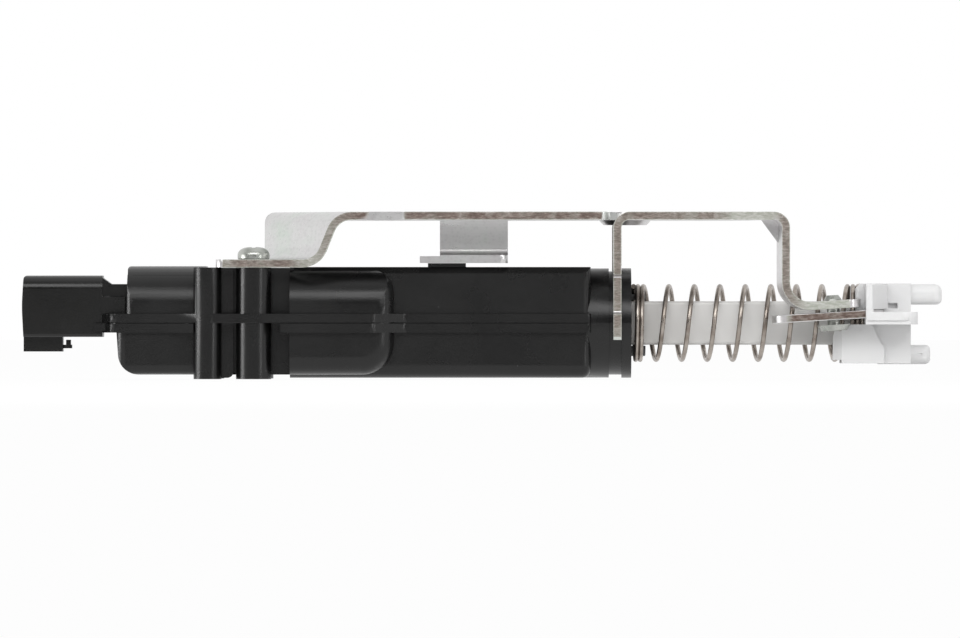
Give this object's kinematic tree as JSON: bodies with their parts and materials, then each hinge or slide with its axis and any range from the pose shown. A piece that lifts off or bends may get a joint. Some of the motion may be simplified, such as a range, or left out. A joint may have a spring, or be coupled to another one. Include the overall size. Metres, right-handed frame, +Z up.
{
  "type": "door latch actuator",
  "caption": "Plug-in electric plunger actuator for a vehicle door latch: moulded two-part housing, sprung rod with a white forked end, and a stamped plated mounting bracket.",
  "frame": {"origin": "centre of the front mounting hole, on the recessed floor of its dish in the bracket's top plate", "axes": "+X along the plunger towards the forked end, +Y away from the motor bulge and the viewer, +Z up out of the bracket's mounting face"},
  "size_m": [0.2303, 0.0476, 0.0418],
  "materials": {
    "housing_plastic": "black glass-filled moulding with a satin sheen",
    "connector_plastic": "smooth black moulding",
    "blade_brass": "tinned bright",
    "zinc_sheet": "zinc plated, faintly iridescent",
    "zinc_steel": "zinc plated",
    "bright_steel": "ground",
    "can_steel": "drawn and nickel plated",
    "spring_steel": "dark drawn wire",
    "rod_plastic": "pale grey acetal",
    "fork_plastic": "white acetal",
    "gear_plastic": "natural acetal",
    "bush_plastic": "black nylon",
    "rubber": "matt",
    "magnet": "sintered ferrite",
    "copper_wire": "enamelled copper",
    "core_steel": "stacked sheet",
    "bronze": "sintered bronze",
    "carbon": "graphite",
    "worm_brass": "turned brass"
  },
  "bodies": {
    "base": {"upper_housing": "housing_plastic", "lower_housing": "housing_plastic", "connector_header": "connector_plastic", "terminal_blades": "blade_brass", "motor_can": "can_steel", "motor_end_cap": "bush_plastic", "motor_magnets": "magnet", "motor_bearings": "bronze", "brushes": "carbon", "shaft_bearing": "bronze", "gear_axle": "bright_steel", "contact_strips": "blade_brass", "thermal_cutout": "carbon", "guide_rivet": "zinc_steel", "return_spring": "spring_steel", "nose_bush": "bush_plastic", "nose_seal": "rubber", "stop_bumper": "rubber", "bracket": "zinc_sheet", "bracket_screw": "zinc_steel", "housing_screws": "zinc_steel"},
    "plunger": {"plunger_rod": "rod_plastic", "end_fork": "fork_plastic", "fork_pin": "bright_steel", "guide_plate": "zinc_sheet"},
    "gear": {"drive_gear": "gear_plastic"},
    "rotor": {"motor_shaft": "bright_steel", "worm": "worm_brass", "rotor_core": "core_steel", "rotor_windings": "copper_wire", "commutator": "worm_brass"}
  },
  "joints": [
    {"name": "rotor_spin", "type": "hinge", "parent": "base", "child": "rotor", "pos_m": [-0.0735, -0.0071, -0.02655], "axis": [1, 0, 0], "range_deg": [0, 1757.5]},
    {"name": "gear_spin", "type": "hinge", "parent": "base", "child": "gear", "pos_m": [-0.0955, 0.0044, -0.02655], "axis": [0, 0, 1], "range_deg": [-146.5, 0]},
    {"name": "plunger_slide", "type": "slide", "parent": "base", "child": "plunger", "axis": [1, 0, 0], "range_m": [0, 0.0115], "deforming": ["return_spring"]}
  ],
  "couplings": [
    {"joint": "gear_spin", "follows": "plunger_slide", "rad_per_m": -222.22},
    {"joint": "rotor_spin", "follows": "plunger_slide", "rad_per_m": 2666.7}
  ]
}
